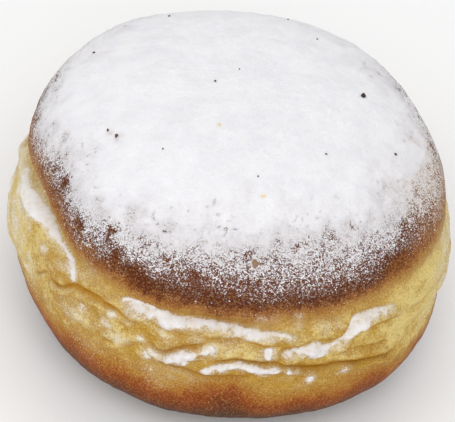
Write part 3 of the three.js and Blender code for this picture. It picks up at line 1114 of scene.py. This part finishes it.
    def build_drifts(self) -> Piece:
        """Builds the drifts on the belt as one mesh of low banks.

        Returns:
            The linked object.
        """
        form = self.dough.form
        arcs = np.arange(form.arc_at(-0.5), form.arc_at(16.0), self.drift_row)
        azimuth, arc = SkinMap.grid(arcs, self.drift_columns)
        _, height = form.profile(arc)
        plain = form.place(azimuth, arc)
        fray = self.fray.at(plain)
        depth, whole = np.full(height.shape, -1.0), np.zeros(height.shape)
        for drift in self.drifts():
            inside = drift.inside(azimuth, height, fray)
            depth = np.maximum(depth, drift.bank(inside))
            whole = np.maximum(whole, ease(inside, -0.35, 0.7))
        for heap in self.heaps:
            dome = heap.dome(form, azimuth, arc) * (0.7 + self.heap_lumps.at(plain))
            depth = np.where(dome > 0, np.maximum(depth, -0.04) + dome, depth)
            whole = np.maximum(whole, ease(dome, 0.0, 0.15))
        lying = self.dough.skin(azimuth, arc)
        lumpy = self.drift_lumps.at(lying) * ease(depth, -self.rooted, 0.2)
        depth = np.where(depth > -self.rooted, depth + lumpy - self.sunk, depth)
        filling = self.filling(self.dough.relief(azimuth, arc)) * ease(depth, 0.0, 0.25)
        points = self.dough.skin(azimuth, arc, np.maximum(depth, -self.rooted) + filling)
        layers = self.dough.layers(azimuth, arc)
        # the drifts carry no painted crease shade; it lowers their sugar instead
        layers["crease"] = np.zeros(height.shape)
        painted_shade = self.dough.crease(azimuth, height, plain)
        thin = self.thin_places * Lumps(85).pillows(lying, 1.8)
        thin = thin + self.holes * ease(Lumps(86).at(lying, 0.8), 0.0, 0.6)
        layers["dust"] = np.clip(whole * (self.drift_share - thin) - self.creased * painted_shade, 0, 1)
        return add_shell("sugar_drifts", points, depth, layers)

    @staticmethod
    def filling(relief: Array) -> Array:
        """How far sugar fills the narrow hollows of a relief, in millimetres.

        Args:
            relief: grid of heights, one row for each ring.

        Returns:
            The filling at each point of the grid.
        """
        reach = 6  # rows of the relief on each side
        window = np.hanning(2 * reach + 3)[1:-1]
        window = window / window.sum()
        padded = np.pad(relief, ((reach, reach), (0, 0)), mode="edge")
        level = sum(share * padded[row:row + len(relief)] for row, share in enumerate(window))
        return np.maximum(level - relief, 0)

    def scatter(self, source: np.random.Generator, wanted: Scatter) -> tuple[Array, Array]:
        """Places where dust lies, thickest where about half of the skin is covered.

        Args:
            source: random numbers.
            wanted: how many places, and where.

        Returns:
            Azimuths and arc lengths.
        """
        form = self.dough.form
        low, high = form.arc_at(wanted.band[0]), form.arc_at(wanted.band[1])
        tries, rest = 6 * wanted.count, 0.15
        azimuth, arc = np.zeros(0), np.zeros(0)
        while len(azimuth) < wanted.count:
            some_azimuth = source.uniform(-180, 180, tries)
            some_arc = source.uniform(low, high, tries)
            reach, _ = form.profile(some_arc)
            share = self.spread.at(some_azimuth, some_arc)
            chance = np.where(share > wanted.most, rest, share / wanted.most) * reach / form.width * 2
            taken = source.uniform(0, 1, tries) < chance
            azimuth = np.concatenate([azimuth, some_azimuth[taken]])[:wanted.count]
            arc = np.concatenate([arc, some_arc[taken]])[:wanted.count]
        return azimuth, arc

    def lying(self, azimuth: Array, arc: Array, lift: Array) -> Array:
        """Points lying on the dough or on its coat, raised by a lift in millimetres."""
        on_coat = np.maximum(self.depth(azimuth, arc), 0) * (arc > self.dough.form.arc_at(self.coat_start))
        return self.dough.skin(azimuth, arc, on_coat + lift)

    def build_clumps(self) -> Piece:
        """Scatters small clumps of sugar over the cap.

        Returns:
            One mesh of uneven balls.
        """
        source = np.random.default_rng(self.clumps.seed)
        azimuth, arc = self.scatter(source, self.clumps)
        size = source.uniform(*self.clumps.radius, self.clumps.count)
        return build_bits(self.clumps.name, self.lying(azimuth, arc, 0.1 * size), size, 0.4, 92)

    def build_grains(self, wanted: Scatter) -> Piece:
        """Scatters loose grains of sugar where the dust is.

        Args:
            wanted: how many grains, how large, and where.

        Returns:
            One mesh of eight-sided grains.
        """
        source = np.random.default_rng(wanted.seed)
        count = wanted.count
        azimuth, arc = self.scatter(source, wanted)
        size = source.uniform(*wanted.radius, count) * source.uniform(0.6, 1.0, count)
        centres = self.lying(azimuth, arc, 0.3 * size)
        corners = np.repeat(np.eye(3), 2, axis=0) * np.tile([1, -1], 3)[:, None]
        around = ((0, 2), (2, 1), (1, 3), (3, 0))
        sides = [(a, b, 4) for a, b in around] + [(b, a, 5) for a, b in around]
        turns = random_turns(source, count)
        stretch = source.uniform(0.65, 1.2, (count, 6, 1))
        piece = add_copies(wanted.name, centres, size, turns, corners * stretch, np.array(sides))
        piece.data.shade_flat()
        return piece


def random_turns(source: np.random.Generator, count: int) -> Array:
    """Rotation matrices that turn each of some bodies its own way."""
    return np.linalg.qr(source.normal(size=(count, 3, 3)))[0]


def add_copies(name: str, centres: Array, sizes: Array, turns: Array, shapes: Array, sides: Array) -> Piece:
    """Adds many small bodies as one mesh.

    Args:
        name: the piece's name.
        centres: their middles, in millimetres.
        sizes: their radii, in millimetres.
        turns: a rotation matrix for each body.
        shapes: the vertices of each body, at a radius of about 1.
        sides: the faces that all bodies share.

    Returns:
        The linked object.
    """
    turned = np.einsum("nij,nkj->nki", turns, shapes)
    points = centres[:, None, :] + sizes[:, None, None] * turned
    first = shapes.shape[1] * np.arange(len(centres))
    faces = (sides[None] + first[:, None, None]).reshape(-1, 3)
    return add_object(name, points.reshape(-1, 3), faces.tolist())


def rough_ball() -> tuple[Array, Array]:
    """Vertices and faces of a ball of 80 triangles with a radius of 1.

    Returns:
        The vertices, then the faces.
    """
    mesh = bpy.data.meshes.new("ball")
    shape = bmesh.new()
    bmesh.ops.create_icosphere(shape, subdivisions=2, radius=1.0)
    shape.to_mesh(mesh)
    shape.free()
    points = np.array([vertex.co for vertex in mesh.vertices])
    faces = np.array([list(face.vertices) for face in mesh.polygons])
    bpy.data.meshes.remove(mesh)
    return points, faces


def build_bits(name: str, centres: Array, sizes: Array, rough: float, seed: int) -> Piece:
    """Adds uneven little bodies as one mesh.

    Args:
        name: the piece's name.
        centres: their middles, in millimetres.
        sizes: their radii, in millimetres.
        rough: unevenness as a share of the radius.
        seed: seed of their shapes.

    Returns:
        The linked object.
    """
    squash = 0.9
    source = np.random.default_rng(seed)
    ball, sides = rough_ball()
    count = len(centres)
    shifted = ball[None] + source.uniform(-50, 50, (count, 1, 3))
    swell = 1 + Texture(((rough, seed, 0.9), (0.5 * rough, seed + 1, 0.45))).at(shifted)
    shapes = ball[None] * swell[..., None] * source.uniform(0.7, 1.3, (count, 1, 3))
    shapes[..., 2] *= squash
    turns = random_turns(source, count)
    return add_copies(name, centres, sizes, turns, shapes, sides)


@dataclass(frozen=True)
class Bump:
    """Strength and depth, in millimetres, of a finish's small relief."""

    strength: float
    depth: float


class Wiring:
    """Short hand for laying out a shader's nodes."""

    def __init__(self, tree: bpy.types.NodeTree) -> None:
        """Starts on an empty tree."""
        self.tree = tree
        self.tree.nodes.clear()

    def node(self, kind: str, settings: dict | None = None, **inputs: object) -> bpy.types.Node:
        """Adds a node.

        Args:
            kind: the node's type name, without ShaderNode in front.
            settings: the node's own properties.
            inputs: a socket to join or a value to set, by input name with _ for a space.

        Returns:
            The new node.
        """
        made = self.tree.nodes.new(kind if kind.startswith("Node") else "ShaderNode" + kind)
        for key, value in (settings or {}).items():
            setattr(made, key, value)
        for key, value in inputs.items():
            self.feed(made.inputs[key.replace("_", " ")], value)
        return made

    def feed(self, socket: Socket, value: object) -> None:
        """Joins a socket to another, or sets its value.

        Args:
            socket: the input to feed.
            value: a socket, or a value of the input's own kind.
        """
        if isinstance(value, Socket):
            self.tree.links.new(value, socket)
        else:
            socket.default_value = value

    def math(self, operation: str, *values: object) -> Socket:
        """Result of a sum on numbers.

        Args:
            operation: the sum's name in the node.
            values: sockets or numbers, in the node's order.

        Returns:
            The socket that carries it.
        """
        made = self.node("Math", {"operation": operation})
        for socket, value in zip(made.inputs, values):
            self.feed(socket, value)
        return made.outputs[0]

    def noise(self, size: float, detail: float = 2.0, roughness: float = 0.5) -> Socket:
        """Noise from 0 to 1 over the surface.

        Args:
            size: size of the largest spots, in millimetres.
            detail: number of finer layers.
            roughness: strength of the finer layers.

        Returns:
            The noise's value.
        """
        place = self.node("TexCoord").outputs["Object"]
        scale = 1 / (size * MM)
        made = self.node("TexNoise", None, Vector=place, Scale=scale, Detail=detail, Roughness=roughness)
        return made.outputs[0]

    def cells(self, size: float) -> Socket:
        """A value from 0 to 1, picked anew for each grain-like cell.

        Args:
            size: size of one cell, in millimetres.

        Returns:
            The socket that carries it.
        """
        place = self.node("TexCoord").outputs["Object"]
        made = self.node("TexVoronoi", None, Vector=place, Scale=1 / (size * MM))
        return self.node("SeparateColor", None, Color=made.outputs["Color"]).outputs[0]

    def swing(self, value: object, amount: float, base: object = 0.0) -> Socket:
        """Adds a value from 0 to 1, counted from its middle, to a base."""
        return self.math("MULTIPLY_ADD", self.math("SUBTRACT", value, 0.5), amount, base)

    def spread(self, value: object, low: float, high: float) -> Socket:
        """Eased step of a value from 0 at low to 1 at high.

        Args:
            value: a socket or a number.
            low: where the step starts.
            high: where it is done.

        Returns:
            The socket that carries it.
        """
        made = self.node("MapRange", {"interpolation_type": "SMOOTHSTEP"}, Value=value)
        made.inputs["From Min"].default_value = low
        made.inputs["From Max"].default_value = high
        return made.outputs[0]

    def mix(self, share: object, first: object, second: object) -> Socket:
        """Colour between two others.

        Args:
            share: how much of the second there is.
            first: colour at 0.
            second: colour at 1.

        Returns:
            The socket that carries it.
        """
        made = self.node("Mix", {"data_type": "RGBA"})
        factor, colour_a, colour_b, result = 0, 6, 7, 2  # the node repeats its names for each data type
        self.feed(made.inputs[factor], share)
        self.feed(made.inputs[colour_a], first)
        self.feed(made.inputs[colour_b], second)
        return made.outputs[result]

    def ramp(self, value: object, stops: tuple[tuple[float, Colour], ...]) -> Socket:
        """Colour picked by a value from a row of stops.

        Args:
            value: the value, in the stops' own unit.
            stops: values and their colours, in rising order.

        Returns:
            The colour.
        """
        low, high = stops[0][0], stops[-1][0]
        share = self.math("DIVIDE", self.math("SUBTRACT", value, low), high - low)
        made = self.node("ValToRGB", None, Fac=share)
        strip = made.color_ramp.elements
        strip[0].position, strip[0].color = 0.0, stops[0][1]
        strip[1].position, strip[1].color = 1.0, stops[-1][1]
        for level, colour in stops[1:-1]:
            strip.new((level - low) / (high - low)).color = colour
        return made.outputs[0]

    def layer(self, name: str) -> Socket:
        """A value that the mesh holds for each vertex."""
        return self.node("Attribute", {"attribute_name": name}).outputs["Fac"]

    def surface(self, colour: object, rough: object, relief: object, bump: Bump, constants: dict) -> None:
        """Ends a material with its relief, its shader and its output.

        Args:
            colour: the surface's colour.
            rough: its roughness.
            relief: its small relief, without a unit.
            bump: how strong and how deep that relief is.
            constants: the shader's other values, by input name.
        """
        made = self.node("Bump", None, Height=relief, Strength=bump.strength, Distance=bump.depth * MM)
        normal = made.outputs[0]
        shader = self.node("BsdfPrincipled", None, Base_Color=colour, Roughness=rough, Normal=normal)
        for name, value in constants.items():
            shader.inputs[name].default_value = value
        self.node("OutputMaterial", None, Surface=shader.outputs[0])


def new_material(name: str) -> tuple[bpy.types.Material, Wiring]:
    """A material with an empty node tree, and the wiring of that tree.

    Args:
        name: the material's name.

    Returns:
        The material and its wiring.
    """
    material = bpy.data.materials.new(name)
    material.use_nodes = True
    return material, Wiring(material.node_tree)


class Effects:
    """Shader groups that several finishes share, each built once."""

    def __init__(self) -> None:
        """Builds the groups."""
        self.dusting = self.make_dusting()
        self.powder = self.make_powder()

    @staticmethod
    def start(
        name: str, inputs: dict[str, float], outputs: dict[str, str]
    ) -> tuple[bpy.types.NodeTree, Wiring, bpy.types.Node, bpy.types.Node]:
        """Makes an empty group with its sockets.

        Args:
            name: the group's name.
            inputs: default of each number that goes in.
            outputs: socket type of each output.

        Returns:
            The group, its wiring, its input node and its output node.
        """
        group = bpy.data.node_groups.new(name, "ShaderNodeTree")
        for label, default in inputs.items():
            socket = group.interface.new_socket(label, in_out="INPUT", socket_type="NodeSocketFloat")
            socket.default_value = default
        for label, kind in outputs.items():
            group.interface.new_socket(label, in_out="OUTPUT", socket_type=kind)
        wires = Wiring(group)
        return group, wires, wires.node("NodeGroupInput"), wires.node("NodeGroupOutput")

    def make_dusting(self) -> bpy.types.NodeTree:
        """Specks of powder that thicken into a whole layer as the coverage grows.

        Returns:
            The group.
        """
        inputs = {"Coverage": 0.0, "Film": 0.1}
        outputs = {"Mask": "NodeSocketFloat", "Height": "NodeSocketFloat"}
        group, wires, given, out = self.start("powder_dusting", inputs, outputs)
        soft = 0.15
        mean = given.outputs["Coverage"]
        cloud = wires.spread(wires.noise(0.6, 2.0, 0.7), 0.3, 0.7)
        partly = wires.math("MULTIPLY", mean, wires.math("SUBTRACT", 1.0, mean))
        coverage = wires.math("MULTIPLY_ADD", partly, wires.swing(cloud, 0.6), mean)
        grain = wires.cells(0.19)
        floor = wires.math("MULTIPLY_ADD", grain, 1 - 2 * soft, soft)
        specks = wires.spread(wires.math("SUBTRACT", coverage, floor), -soft, soft)
        whole = wires.spread(coverage, 0.4, 0.85)
        film = wires.math("MAXIMUM", given.outputs["Film"], wires.math("MULTIPLY", whole, 0.92))
        apart = wires.math("MULTIPLY", specks, wires.math("SUBTRACT", 1.0, film))
        mask = wires.math("MULTIPLY_ADD", coverage, film, apart)
        wires.feed(out.inputs["Mask"], mask)
        wires.feed(out.inputs["Height"], wires.math("MULTIPLY", mask, wires.math("SUBTRACT", 1.4, grain)))
        return group

    def make_powder(self) -> bpy.types.NodeTree:
        """Faint clouds of grey in white powder, and its grain.

        Returns:
            The group.
        """
        outputs = {"Colour": "NodeSocketColor", "Height": "NodeSocketFloat"}
        group, wires, _, out = self.start("powder_tone", {}, outputs)
        grain = wires.noise(0.35, 2.0, 0.7)
        tone = wires.swing(grain, 0.5, wires.noise(5.0, 3.0, 0.6))
        colour = wires.ramp(tone, ((0.25, srgb(236, 235, 239)), (0.65, srgb(246, 245, 248))))
        wires.feed(out.inputs["Colour"], colour)
        wires.feed(out.inputs["Height"], wires.math("MULTIPLY_ADD", wires.noise(0.9, 1.0), 0.6, grain))
        return group


@dataclass(frozen=True)
class DoughFinish:
    """Fried dough under powder: pale on the belt, dark on the cap, mottled brown on the bottom.

    Its colour also holds painted shade in the creases, hollows and undersides and towards the bottom.
    """

    name: str = "fried_dough"
    pale: Colour = srgb(219, 197, 126)
    golden: Colour = srgb(178, 137, 48)
    # golden brown painted as shade into the creases and onto the undersides
    painted_shade_gold: Colour = srgb(172, 120, 28)
    bloom: Colour = srgb(216, 182, 112)
    cream: Colour = srgb(238, 224, 192)
    char: Colour = srgb(84, 40, 16)
    cap: tuple[tuple[float, Colour], ...] = (
        (-3.6, srgb(192, 156, 88)),
        (-2.0, srgb(176, 136, 70)),
        (-1.0, srgb(168, 122, 60)),
        (0.0, srgb(144, 89, 43)),
        (1.0, srgb(103, 50, 23)),
        (2.0, srgb(84, 34, 14)),
        (4.0, srgb(94, 43, 25)),
    )
    # Browning towards the bottom; its darkest stops also hold painted shade under the bun.
    foot: tuple[tuple[float, Colour], ...] = (
        (-4.0, srgb(184, 144, 76)),
        (-1.5, srgb(172, 128, 58)),
        (0.0, srgb(166, 110, 44)),
        (1.2, srgb(152, 85, 31)),
        (2.4, srgb(138, 67, 25)),
        (4.5, srgb(118, 58, 28)),
        (6.5, srgb(92, 48, 31)),
        (9.0, srgb(70, 38, 26)),
    )
    belt_mottle: tuple[float, float] = (1.6, 1.2)
    foot_mottle: tuple[float, float] = (5.6, 3.0)
    cap_mottle: tuple[float, float] = (3.8, 1.8)
    underside_shade_share: float = 0.85
    bloom_share: float = 0.3
    char_share: float = 0.45
    crease_shade_share: float = 0.9
    bump: Bump = Bump(0.75, 0.18)
    glow: float = 0.2
    glow_reach: tuple[float, float, float] = (1.0, 0.6, 0.3)

    def build(self, effects: Effects) -> bpy.types.Material:
        """Makes the material: the dough's browning, then the powder on it.

        Args:
            effects: the shared shader groups.

        Returns:
            The material.
        """
        material, wires = new_material(self.name)
        mottle = wires.noise(2.2, 4.0, 0.6)
        bare = self.browned(wires, mottle)
        mask, powder, lift = self.powdered(wires, effects)
        relief = wires.math("MULTIPLY_ADD", mottle, 0.5, lift)
        relief = wires.math("MULTIPLY_ADD", wires.noise(0.45, 2.0, 0.6), 0.8, relief)
        rough = wires.math("MULTIPLY_ADD", mask, 0.3, wires.swing(mottle, 0.2, 0.52))
        wires.surface(wires.mix(mask, bare, powder), rough, relief, self.bump, {
            "Subsurface Weight": self.glow, "Subsurface Radius": self.glow_reach,
            "Subsurface Scale": 0.45 * MM, "Specular IOR Level": 0.07,
        })
        return material

    def browned(self, wires: Wiring, mottle: Socket) -> Socket:
        """Colour of the bare dough, with painted shade in its creases, hollows and undersides.

        Args:
            wires: the material's wiring.
            mottle: noise of the larger spots.

        Returns:
            The colour.
        """
        grain = wires.noise(0.5, 2.0, 0.7)

        def uneven(layer: str, amounts: tuple[float, float]) -> Socket:
            """A value of the mesh made uneven by the grain and the mottling."""
            return wires.swing(grain, amounts[0], wires.swing(mottle, amounts[1], wires.layer(layer)))

        def tinted(base: object, mask: object, share: float, tint: Colour) -> Socket:
            """A colour with a share of a tint where a mask is 1."""
            return wires.mix(wires.math("MULTIPLY", mask, share), base, tint)

        # the golden layer also holds painted shade in the hollows and painted light on the bumps
        golden = uneven("golden", self.belt_mottle)
        base = wires.mix(wires.spread(golden, 0.0, 1.0), self.pale, self.golden)
        # painted shade where the skin hangs over
        base = tinted(base, wires.spread(wires.layer("under"), 0.1, 0.9), self.underside_shade_share, self.painted_shade_gold)
        foot = uneven("foot_side", self.foot_mottle)
        colour = wires.mix(wires.spread(foot, -4.5, -1.5), base, wires.ramp(foot, self.foot))
        cap = uneven("cap_side", self.cap_mottle)
        colour = wires.mix(wires.spread(cap, -5.5, -1.8), colour, wires.ramp(cap, self.cap))
        fine = wires.noise(0.32, 2.0, 0.7)
        colour = tinted(colour, wires.spread(fine, 0.52, 0.66), self.bloom_share, self.bloom)
        colour = tinted(colour, wires.spread(fine, 0.48, 0.32), self.char_share, self.char)
        # painted shade along the creases
        return tinted(colour, wires.layer("crease"), self.crease_shade_share, self.painted_shade_gold)

    def powdered(self, wires: Wiring, effects: Effects) -> tuple[Socket, ...]:
        """Powdered sugar on the dough, a thin film on the belt and specks on the browned crust.

        Args:
            wires: the material's wiring.
            effects: the shared shader groups.

        Returns:
            The powder's mask, its colour and its relief.
        """
        cap, foot, dust = (wires.layer(name) for name in ("cap_side", "foot_side", "dust"))
        browned = wires.spread(wires.math("MAXIMUM", cap, foot), -3.0, 0.5)
        film = wires.math("MULTIPLY_ADD", browned, -0.5, 0.55)
        dusting = wires.node("Group", {"node_tree": effects.dusting}, Coverage=dust, Film=film)
        powder = wires.node("Group", {"node_tree": effects.powder})
        mask = dusting.outputs["Mask"]
        thin = wires.math("MULTIPLY", wires.spread(dust, 0.95, 0.5), 0.6)
        tint = wires.math("MULTIPLY", wires.spread(cap, 2.0, -1.0), thin)
        colour = wires.mix(tint, powder.outputs["Colour"], self.cream)
        lift = wires.math("MULTIPLY", powder.outputs["Height"], wires.math("MULTIPLY", mask, 0.4))
        return mask, colour, wires.math("MULTIPLY_ADD", dusting.outputs["Height"], 1.2, lift)


@dataclass(frozen=True)
class PowderFinish:
    """Loose powdered sugar."""

    name: str = "loose_sugar"
    rough: float = 0.85
    bump: Bump = Bump(0.5, 0.12)

    def build(self, effects: Effects) -> bpy.types.Material:
        """Makes the material from the shared powder group.

        Args:
            effects: the shared shader groups.

        Returns:
            The material.
        """
        material, wires = new_material(self.name)
        powder = wires.node("Group", {"node_tree": effects.powder})
        wires.surface(powder.outputs["Colour"], self.rough, powder.outputs["Height"], self.bump, {
            "Subsurface Weight": SUGAR_GLOW, "Subsurface Radius": SUGAR_REACH,
            "Subsurface Scale": 0.5 * MM, "Specular IOR Level": 0.25,
        })
        return material


@dataclass(frozen=True)
class CrumbFinish:
    """Fried crumbs."""

    name: str = "fried_crumbs"
    tints: tuple[tuple[float, Colour], ...] = (
        (0.0, srgb(52, 32, 24)),
        (0.5, srgb(112, 66, 38)),
        (1.0, srgb(240, 216, 170)),
    )
    bump: Bump = Bump(0.6, 0.1)

    def build(self) -> bpy.types.Material:
        """Makes the material, whose colour follows each crumb's tint.

        Returns:
            The material.
        """
        material, wires = new_material(self.name)
        tone = wires.noise(0.6, 2.0, 0.6)
        colour = wires.ramp(wires.layer("tint"), self.tints)
        wires.surface(colour, wires.swing(tone, 0.3, 0.6), tone, self.bump, {})
        return material


@dataclass
class Studio:
    """Pale floor, soft light and the camera."""

    elevation: float = 40.5
    roll: float = 5.84
    distance: float = 450.0
    scale: float = 4.92  # pixels for each millimetre
    frame_size: tuple[int, int] = (455, 422)
    centre_pixel: tuple[float, float] = (227.7, 229.2)
    centre_height: float = 18.4
    floor_colour: Colour = srgb(250, 250, 250)
    floor_half: float = 1.5  # metres
    surround: float = 0.61
    # Name, place and size in metres, and power in watts of each lamp.
    lamps: tuple[tuple[str, tuple[float, float, float], float, float], ...] = (
        ("key_lamp", (0.06, -0.5, 0.5), 0.5, 1.98),
        ("fill_lamp", (-0.5, -0.25, 0.35), 0.5, 0.6),
        ("back_lamp", (0.05, 0.5, 0.55), 0.8, 1.3),
    )

    def build_camera(self) -> None:
        """Places the camera so that the centre of the widest line falls on its pixel."""
        data = bpy.data.cameras.new("camera")
        camera = bpy.data.objects.new("camera", data)
        bpy.context.scene.collection.objects.link(camera)
        bpy.context.scene.camera = camera
        lift, lean = math.radians(self.elevation), math.radians(self.roll)
        back = Vector((0, -math.cos(lift), math.sin(lift)))
        level_up = Vector((0, math.sin(lift), math.cos(lift)))
        right = Vector((1, 0, 0))
        up = level_up * math.cos(lean) - right * math.sin(lean)
        side = right * math.cos(lean) + level_up * math.sin(lean)
        aside = (self.frame_size[0] / 2 - self.centre_pixel[0]) / self.scale
        above = (self.centre_pixel[1] - self.frame_size[1] / 2) / self.scale
        aim = Vector((0, 0, self.centre_height)) + side * aside + up * above
        camera.location = (aim + back * self.distance) * MM
        camera.rotation_euler = Matrix((side, up, back)).transposed().to_euler()
        sensor = 36.0
        data.sensor_width = sensor
        data.lens = sensor * self.distance * self.scale / self.frame_size[0]
        data.clip_start, data.clip_end = 0.01, 10.0

    def build_floor(self) -> None:
        """Lays the floor under the doughnut."""
        half = self.floor_half
        corners = [(-half, -half, 0), (half, -half, 0), (half, half, 0), (-half, half, 0)]
        mesh = bpy.data.meshes.new("floor")
        mesh.from_pydata(corners, [], [(0, 1, 2, 3)])
        floor = bpy.data.objects.new("floor", mesh)
        bpy.context.scene.collection.objects.link(floor)
        material = bpy.data.materials.new("pale_floor")
        material.use_nodes = True
        shader = material.node_tree.nodes["Principled BSDF"]
        shader.inputs["Base Color"].default_value = self.floor_colour
        shader.inputs["Roughness"].default_value = 0.9
        shader.inputs["Specular IOR Level"].default_value = 0.1
        mesh.materials.append(material)

    def build_lights(self) -> None:
        """Sets a bright even surround and three large soft lamps."""
        world = bpy.data.worlds.new("studio")
        bpy.context.scene.world = world
        world.use_nodes = True
        surround = world.node_tree.nodes["Background"]
        surround.inputs["Color"].default_value = (1.0, 1.0, 1.0, 1.0)
        surround.inputs["Strength"].default_value = self.surround
        for name, place, size, power in self.lamps:
            data = bpy.data.lights.new(name, "AREA")
            data.energy, data.size = power, size
            lamp = bpy.data.objects.new(name, data)
            lamp.location = place
            aim = Vector((0, 0, 0.02)) - Vector(place)
            lamp.rotation_euler = aim.to_track_quat("-Z", "Y").to_euler()
            bpy.context.scene.collection.objects.link(lamp)
        bpy.context.scene.view_settings.view_transform = "Standard"


@dataclass
class Crumbs:
    """Dark and golden crumbs caught in the sugar of the cap, each an x, a y, a radius and a tint."""

    sugar: Sugar
    found: Stops = (
        (-5.3, 2.3, 0.22, 0.1), (-0.9, 6.9, 0.2, 0.1), (23.4, 4.6, 0.56, 0.0), (30.3, -8.3, 0.34, 0.05),
        (17.0, -14.1, 0.2, 0.1), (4.5, -22.1, 0.16, 0.2), (-13.5, -17.3, 0.22, 0.35),
        (-22.7, -13.0, 0.4, 0.3), (-24.4, -11.3, 0.26, 0.35), (-3.7, -10.8, 0.3, 1.0),
        (5.8, -25.9, 0.38, 1.0), (5.6, -36.2, 0.7, 0.6), (14.0, 22.0, 0.2, 0.3), (-16.0, 27.0, 0.24, 0.2),
        (8.0, 31.0, 0.18, 0.4), (-30.0, 14.0, 0.3, 0.3),
    )

    def build(self) -> Piece:
        """Builds the crumbs, half sunk into the sugar.

        Returns:
            The linked object.
        """
        dough = self.sugar.dough
        lowest, rings, columns = 20.0, 400, 720
        arcs = np.linspace(dough.form.arc_at(lowest), dough.form.length(), rings)
        azimuth, arc = SkinMap.grid(arcs, columns)
        cap = dough.form.place(azimuth, arc) + dough.origin
        rows = np.array(self.found)
        nearest = [np.argmin(((cap[..., :2] - row[:2]) ** 2).sum(-1)) for row in rows]
        sizes, tints = rows[:, 2], rows[:, 3]
        centres = self.sugar.lying(azimuth.flat[nearest], arc.flat[nearest], 0.1 * sizes)
        piece = build_bits("crumbs", centres, sizes, 0.5, 91)
        layer = piece.data.attributes.new("tint", "FLOAT", "POINT")
        values = np.repeat(tints, len(piece.data.vertices) // len(tints)).astype(np.float32)
        layer.data.foreach_set("value", values)
        return piece


def main() -> None:
    """Builds the doughnut and the studio."""
    logging.basicConfig(level=logging.INFO, format="%(name)s: %(message)s")
    studio = Studio()
    studio.build_camera()
    studio.build_floor()
    studio.build_lights()
    dough = Dough(Form())
    dough.settle()
    sugar = Sugar(dough)
    sugar.settle()
    effects = Effects()
    powder = PowderFinish().build(effects)
    sugared = DoughFinish("sugared_crust", glow=SUGAR_GLOW, glow_reach=SUGAR_REACH).build(effects)
    clumps = sugar.build_clumps()
    pieces = {
        Slot.CRUST: [
            (dough.build(sugar), DoughFinish().build(effects)),
            (Crumbs(sugar).build(), CrumbFinish().build()),
        ],
        Slot.SUGAR: [
            (sugar.build_coat(), sugared),
            (sugar.build_drifts(), sugared),
            (clumps, powder),
            (sugar.build_grains(sugar.cap_grains), powder),
            (sugar.build_grains(sugar.belt_grains), powder),
        ],
    }
    for slot, rows in pieces.items():
        for piece, material in rows:
            piece.data.materials.append(material)
            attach(piece, BODY)
            LOG.info("%s: %d faces", piece.name, len(piece.data.polygons))
    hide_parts(NODE)


if __name__ == "__main__":
    main()
